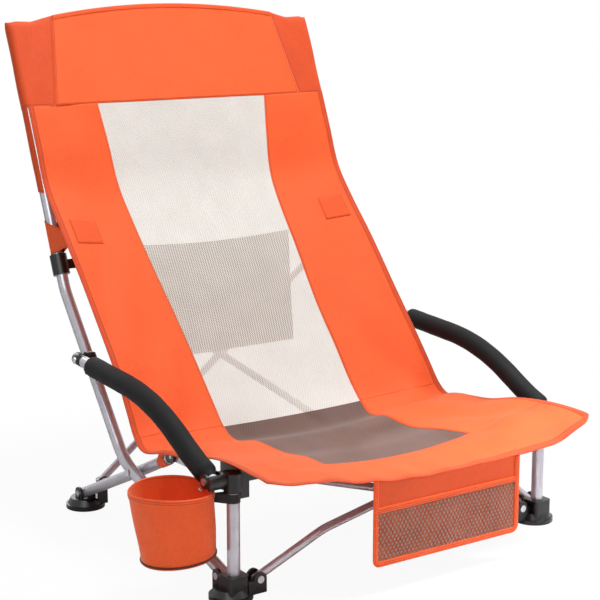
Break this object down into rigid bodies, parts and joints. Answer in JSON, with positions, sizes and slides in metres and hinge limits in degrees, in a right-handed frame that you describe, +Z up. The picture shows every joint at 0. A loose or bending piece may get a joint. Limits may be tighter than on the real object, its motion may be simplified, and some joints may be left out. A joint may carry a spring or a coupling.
{
  "type": "folding camp chair",
  "caption": "Low folding camp chair with a tube frame, scissor legs, sling seat with mesh panels, padded arms, front pocket and cup holder.",
  "frame": {"origin": "on the floor, under the middle of the chair's outer box", "axes": "+X across the chair, away from the cup holder; +Y from the front edge of the seat to the back; +Z up"},
  "size_m": [0.7664, 0.7994, 0.8282],
  "materials": {
    "tube_steel": "silver grey powder-coated steel tube",
    "rivet_steel": "plain steel",
    "black_plastic": "moulded black plastic, fine texture",
    "arm_foam": "charcoal closed-cell foam sleeve",
    "orange_polyester": "woven polyester, orange",
    "back_mesh": "open cream mesh",
    "seat_mesh": "taupe mesh with small holes",
    "black_webbing": "black woven webbing",
    "pocket_cloth": "beige pocket cloth"
  },
  "bodies": {
    "front_leg_left": {"front_foot_left": "black_plastic", "front_post_left": "tube_steel", "front_post_cap_left": "black_plastic", "front_leg_rivets_left": "rivet_steel", "cup_holder": "orange_polyester", "cup_holder_strap": "black_webbing"},
    "front_leg_right": {"front_foot_right": "black_plastic", "front_post_right": "tube_steel", "front_post_cap_right": "black_plastic", "front_leg_rivets_right": "rivet_steel"},
    "front_cross_left": {"front_cross_tube_left": "tube_steel", "front_cross_rivet": "rivet_steel"},
    "front_cross_right": {"front_cross_tube_right": "tube_steel"},
    "seat_hub_left": {"seat_corner_hub_left": "black_plastic", "seat_hub_rivets_left": "rivet_steel"},
    "back_post_left": {"back_post_left": "tube_steel", "back_post_rivet_left": "rivet_steel", "headrest_panel": "orange_polyester", "back_mesh": "back_mesh", "back_side_panel_left": "orange_polyester", "back_side_panel_right": "orange_polyester", "rear_pocket": "pocket_cloth"},
    "rear_leg_left": {"rear_leg_left": "tube_steel", "rear_leg_knuckle_left": "black_plastic"},
    "side_link_left": {"side_link_left": "tube_steel", "side_link_rivets_left": "rivet_steel", "seat_mesh": "seat_mesh", "seat_side_panel_left": "orange_polyester", "seat_side_panel_right": "orange_polyester", "seat_front_panel": "orange_polyester", "front_pocket_binding": "orange_polyester", "front_pocket_mesh": "seat_mesh"},
    "rear_foot_left": {"rear_foot_left": "black_plastic", "rear_foot_rivets_left": "rivet_steel"},
    "rear_cross_left": {"rear_cross_tube_left": "tube_steel", "rear_cross_rivets_left": "rivet_steel"},
    "rear_hub_left": {"rear_cross_hub_left": "black_plastic", "back_strap_left": "orange_polyester"},
    "arm_bracket_left": {"armrest_bracket_left": "black_plastic"},
    "armrest_left": {"armrest_tube_left": "tube_steel", "armrest_foam_left": "arm_foam", "armrest_rivet_left": "rivet_steel"},
    "seat_hub_right": {"seat_corner_hub_right": "black_plastic", "seat_hub_rivets_right": "rivet_steel"},
    "back_post_right": {"back_post_right": "tube_steel", "back_post_rivet_right": "rivet_steel"},
    "rear_leg_right": {"rear_leg_right": "tube_steel", "rear_leg_knuckle_right": "black_plastic"},
    "side_link_right": {"side_link_right": "tube_steel", "side_link_rivets_right": "rivet_steel"},
    "rear_foot_right": {"rear_foot_right": "black_plastic", "rear_foot_rivets_right": "rivet_steel"},
    "rear_cross_right": {"rear_cross_tube_right": "tube_steel", "rear_cross_rivets_right": "rivet_steel"},
    "rear_hub_right": {"rear_cross_hub_right": "black_plastic", "back_strap_right": "orange_polyester"},
    "arm_bracket_right": {"armrest_bracket_right": "black_plastic"},
    "armrest_right": {"armrest_tube_right": "tube_steel", "armrest_foam_right": "arm_foam", "armrest_rivet_right": "rivet_steel"}
  },
  "joints": [
    {"name": "fold", "type": "hinge", "parent": "front_leg_left", "child": "front_cross_left", "pos_m": [-0.21627, -0.29473, 0.028], "axis": [0, -1, 0], "range_deg": [0, 57.3], "deforming": ["headrest_panel", "back_mesh", "back_side_panel_left", "back_side_panel_right", "rear_pocket", "seat_mesh", "seat_side_panel_left", "seat_side_panel_right", "seat_front_panel", "front_pocket_binding", "front_pocket_mesh", "back_strap_left", "back_strap_right"]},
    {"name": "front_cross_pivot", "type": "hinge", "parent": "front_cross_left", "child": "front_cross_right", "pos_m": [0.04473, -0.28773, 0.10645], "axis": [0, 1, 0], "range_deg": [-0.02, 114.62]},
    {"name": "front_foot_pivot_right", "type": "hinge", "parent": "front_cross_right", "child": "front_leg_right", "pos_m": [0.30573, -0.28073, 0.028], "axis": [0, -1, 0], "range_deg": [-0.02, 57.32]},
    {"name": "seat_hub_pivot_right", "type": "hinge", "parent": "front_cross_left", "child": "seat_hub_right", "pos_m": [0.30573, -0.29473, 0.1849], "axis": [0, 1, 0], "range_deg": [-0.02, 57.32]},
    {"name": "seat_hub_pivot_left", "type": "hinge", "parent": "front_cross_right", "child": "seat_hub_left", "pos_m": [-0.21627, -0.28073, 0.1849], "axis": [0, -1, 0], "range_deg": [-0.02, 57.32]},
    {"name": "back_post_pivot_left", "type": "hinge", "parent": "front_leg_left", "child": "back_post_left", "pos_m": [-0.25027, -0.26273, 0.03], "axis": [1, 0, 0], "range_deg": [-0.02, 52.42]},
    {"name": "side_scissor_pivot_left", "type": "hinge", "parent": "back_post_left", "child": "rear_leg_left", "pos_m": [-0.23127, 0.00227, 0.116], "axis": [-1, 0, 0], "range_deg": [-0.02, 118.12]},
    {"name": "side_link_pivot_left", "type": "hinge", "parent": "rear_leg_left", "child": "side_link_left", "pos_m": [-0.23227, -0.09423, 0.162], "axis": [1, 0, 0], "range_deg": [-0.02, 6.42]},
    {"name": "rear_foot_pivot_left", "type": "hinge", "parent": "rear_leg_left", "child": "rear_foot_left", "pos_m": [-0.23127, 0.20427, 0.024], "axis": [1, 0, 0], "range_deg": [-0.02, 80.23]},
    {"name": "rear_cross_pivot_left", "type": "hinge", "parent": "rear_foot_left", "child": "rear_cross_left", "pos_m": [-0.20927, 0.19567, 0.0445], "axis": [0, -0.994, 0.109], "range_deg": [-0.02, 41.54]},
    {"name": "rear_hub_slide_left", "type": "slide", "parent": "back_post_left", "child": "rear_hub_left", "axis": [0, 0.371, 0.9286], "range_m": [-0.0001, 0.04322]},
    {"name": "arm_bracket_slide_left", "type": "slide", "parent": "back_post_left", "child": "arm_bracket_left", "axis": [0, 0.6098, 0.7925], "range_m": [-0.0001, 0.1041]},
    {"name": "armrest_pivot_left", "type": "hinge", "parent": "front_leg_left", "child": "armrest_left", "pos_m": [-0.27727, -0.27573, 0.18], "axis": [1, 0, 0], "range_deg": [-0.02, 72.85]},
    {"name": "back_post_pivot_right", "type": "hinge", "parent": "front_leg_right", "child": "back_post_right", "pos_m": [0.33973, -0.26273, 0.03], "axis": [1, 0, 0], "range_deg": [-0.02, 52.42]},
    {"name": "side_scissor_pivot_right", "type": "hinge", "parent": "back_post_right", "child": "rear_leg_right", "pos_m": [0.32073, 0.00227, 0.116], "axis": [-1, 0, 0], "range_deg": [-0.02, 118.12]},
    {"name": "side_link_pivot_right", "type": "hinge", "parent": "rear_leg_right", "child": "side_link_right", "pos_m": [0.32173, -0.09423, 0.162], "axis": [1, 0, 0], "range_deg": [-0.02, 6.42]},
    {"name": "rear_foot_pivot_right", "type": "hinge", "parent": "rear_leg_right", "child": "rear_foot_right", "pos_m": [0.32073, 0.20427, 0.024], "axis": [1, 0, 0], "range_deg": [-0.02, 80.23]},
    {"name": "rear_cross_pivot_right", "type": "hinge", "parent": "rear_foot_right", "child": "rear_cross_right", "pos_m": [0.29873, 0.19567, 0.0445], "axis": [0, 0.994, -0.109], "range_deg": [-0.02, 41.54]},
    {"name": "rear_hub_slide_right", "type": "slide", "parent": "back_post_right", "child": "rear_hub_right", "axis": [0, 0.371, 0.9286], "range_m": [-0.0001, 0.04322]},
    {"name": "arm_bracket_slide_right", "type": "slide", "parent": "back_post_right", "child": "arm_bracket_right", "axis": [0, 0.6098, 0.7925], "range_m": [-0.0001, 0.1041]},
    {"name": "armrest_pivot_right", "type": "hinge", "parent": "front_leg_right", "child": "armrest_right", "pos_m": [0.36673, -0.27573, 0.18], "axis": [1, 0, 0], "range_deg": [-0.02, 72.85]}
  ],
  "couplings": [
    {"joint": "front_cross_pivot", "follows": "fold", "ratio": 2},
    {"joint": "front_foot_pivot_right", "follows": "fold", "ratio": 1},
    {"joint": "seat_hub_pivot_right", "follows": "fold", "ratio": 1},
    {"joint": "seat_hub_pivot_left", "follows": "fold", "ratio": 1},
    {"joint": "back_post_pivot_left", "follows": "fold", "ratio": 0.91449},
    {"joint": "side_scissor_pivot_left", "follows": "fold", "ratio": 2.0611},
    {"joint": "side_link_pivot_left", "follows": "fold", "ratio": 0.11169},
    {"joint": "rear_foot_pivot_left", "follows": "fold", "ratio": 1.3999},
    {"joint": "rear_cross_pivot_left", "follows": "fold", "ratio": 0.72457},
    {"joint": "rear_hub_slide_left", "follows": "fold", "m_per_rad": 0.043122},
    {"joint": "arm_bracket_slide_left", "follows": "fold", "m_per_rad": 0.10399},
    {"joint": "armrest_pivot_left", "follows": "fold", "ratio": 1.2711},
    {"joint": "back_post_pivot_right", "follows": "fold", "ratio": 0.91449},
    {"joint": "side_scissor_pivot_right", "follows": "fold", "ratio": 2.0611},
    {"joint": "side_link_pivot_right", "follows": "fold", "ratio": 0.11169},
    {"joint": "rear_foot_pivot_right", "follows": "fold", "ratio": 1.3999},
    {"joint": "rear_cross_pivot_right", "follows": "fold", "ratio": 0.72457},
    {"joint": "rear_hub_slide_right", "follows": "fold", "m_per_rad": 0.043122},
    {"joint": "arm_bracket_slide_right", "follows": "fold", "m_per_rad": 0.10399},
    {"joint": "armrest_pivot_right", "follows": "fold", "ratio": 1.2711}
  ]
}
